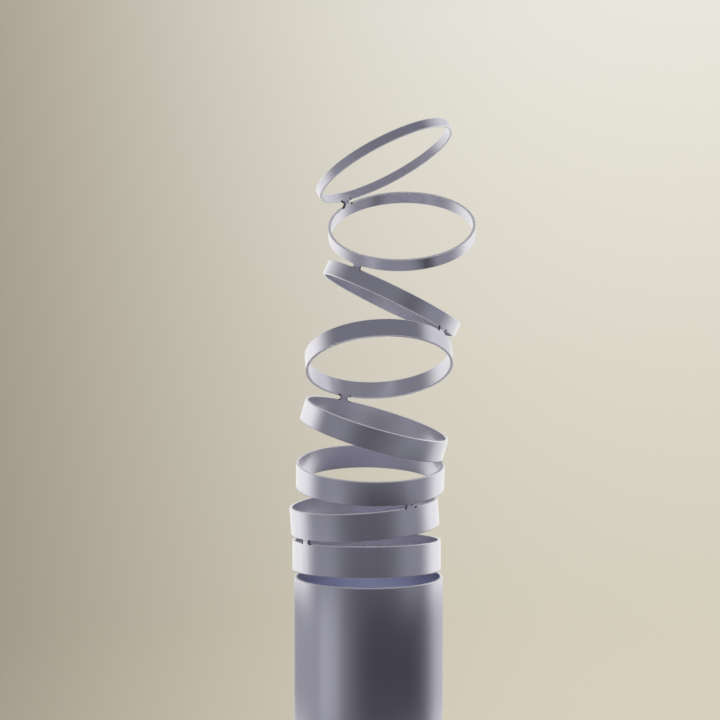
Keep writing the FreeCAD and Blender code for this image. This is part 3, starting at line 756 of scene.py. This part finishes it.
def make_world():
    """What the metal reflects: an even room, its ceiling and a few wide soft panels."""
    world = bpy.data.worlds.new("studio")
    bpy.context.scene.world = world
    world.use_nodes = True
    tree = world.node_tree
    place = tree.nodes.new("ShaderNodeTexCoord").outputs["Generated"]
    parts = tree.nodes.new("ShaderNodeSeparateXYZ")
    tree.links.new(place, parts.inputs["Vector"])
    ceiling = height_mask(tree, parts.outputs["Z"], *CEILING[:3])
    light = mix_node(tree, ceiling, surround_tone(ROOM_LEVEL), surround_tone(CEILING[3]))
    for azimuth, half, soft, height, half_height, height_soft, level in PANELS:
        upright = height_mask(tree, parts.outputs["Z"], height, half_height, height_soft)
        round_it = compass_mask(tree, place, azimuth, half, soft)
        share = math_node(tree, "MULTIPLY", upright, round_it)
        light = mix_node(tree, share, light, surround_tone(level))
    tree.links.new(light, tree.nodes["Background"].inputs["Color"])


def screen_material():
    """The screen's grey and its cards, fading to clear at its top and bottom."""
    bottom, full_low, full_high, top = SCREEN_HEIGHTS
    finish = Finish("screen_card", (0, 0, 0), 1.0)
    tree = finish.material.node_tree
    place = finish.nodes.new("ShaderNodeTexCoord").outputs["Object"]
    light = surround_tone(SCREEN_LEVEL)
    for azimuth, half, soft, level in SCREEN_CARDS:
        share = compass_mask(tree, place, azimuth, half, soft)
        light = mix_node(tree, share, light, surround_tone(level))
    finish.links.new(light, finish.shader.inputs["Emission Color"])
    parts = finish.nodes.new("ShaderNodeSeparateXYZ")
    finish.links.new(place, parts.inputs["Vector"])
    rise = span_node(tree, parts.outputs["Z"], bottom, full_low, True)
    fall = span_node(tree, parts.outputs["Z"], top, full_high, True)
    finish.links.new(math_node(tree, "MULTIPLY", rise, fall), finish.shader.inputs["Alpha"])
    finish.set("Emission Strength", 1.0)
    finish.set("Specular IOR Level", 0.0)
    return finish.material


def make_screen():
    """The low screen, seen only in the metal."""
    count = SCREEN_COLUMNS
    points = [wall_point(SCREEN_R, 2 * math.pi * k / count, z)
              for z in (SCREEN_HEIGHTS[0], SCREEN_HEIGHTS[-1]) for k in range(count)]
    faces = [(k, (k + 1) % count, (k + 1) % count + count, k + count) for k in range(count)]
    mesh = bpy.data.meshes.new("screen")
    mesh.from_pydata(points, [], faces)
    mesh.materials.append(screen_material())
    screen = bpy.data.objects.new("screen", mesh)
    bpy.context.scene.collection.objects.link(screen)
    screen.visible_camera = False
    screen.visible_diffuse = False
    screen.visible_transmission = False
    screen.visible_shadow = False


def area_light(name, place, target, size, power):
    light = bpy.data.lights.new(name, "AREA")
    light.size = size
    light.energy = power
    obj = bpy.data.objects.new(name, light)
    obj.location = place
    obj.rotation_euler = (Vector(target) - Vector(place)).to_track_quat("-Z", "Y").to_euler()
    obj.visible_glossy = False
    obj.visible_camera = False
    bpy.context.scene.collection.objects.link(obj)


def make_camera():
    tube_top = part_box("tube")[1].z
    data = bpy.data.cameras.new("camera")
    data.sensor_width = SENSOR
    data.lens = CAMERA_LENS
    camera = bpy.data.objects.new("camera", data)
    camera.location = (CAMERA_X, CAMERA_Y, tube_top + CAMERA_ABOVE_TUBE)
    camera.rotation_euler = (math.pi / 2 - CAMERA_PITCH, 0, 0)
    bpy.context.scene.collection.objects.link(camera)
    bpy.context.scene.camera = camera


stack = make_links()
satin = satin_aluminium()
bare_edge = cut_edge("cut_edge", (0.88, 0.87, 0.925))
# Painted shade: a darker copy of the cut rim for the lower rims of the deep rings, where the narrow slots are in
# shade.
painted_shade_under_edge = cut_edge("painted_shade_under_edge", (0.4, 0.39, 0.44))
# Painted shade: the tube's inside is painted bluer and darker, and the deep rings' insides duller, than the open
# rings' insides.
mouth_bore_painted_shade = satin_bore("mouth_bore_painted_shade", (0.60, 0.62, 0.79), 0.84)
deep_bore_painted_shade = satin_bore("deep_bore_painted_shade", (0.70, 0.69, 0.79), 0.84)
open_bore = satin_bore("open_bore", (0.70, 0.69, 0.79), 0.95)
bores = [mouth_bore_painted_shade] + [deep_bore_painted_shade] * DEEP_RINGS + [open_bore] * (len(stack) - DEEP_RINGS)
# Painted shade: the relief holes' faces and the bridges' sides are painted near black, as the narrow slots lie in
# shade.
painted_cut_shade = painted_shade_cut_finish("painted_shade_relief", (0.03, 0.027, 0.036), (0.07, 0.065, 0.08))
painted_bridge_side_shade = painted_shade_cut_finish("painted_shade_bridge_side", (0.1, 0.095, 0.115), (0.2, 0.19, 0.225))
make_walls(stack, satin, bare_edge, painted_shade_under_edge, painted_cut_shade, bores)
make_bridges(stack, satin, painted_bridge_side_shade)
finish_nodes()
make_stage()
make_screen()
make_world()
for lamp in LAMPS:
    area_light(*lamp)
make_camera()
bpy.context.scene.view_settings.view_transform = "Standard"
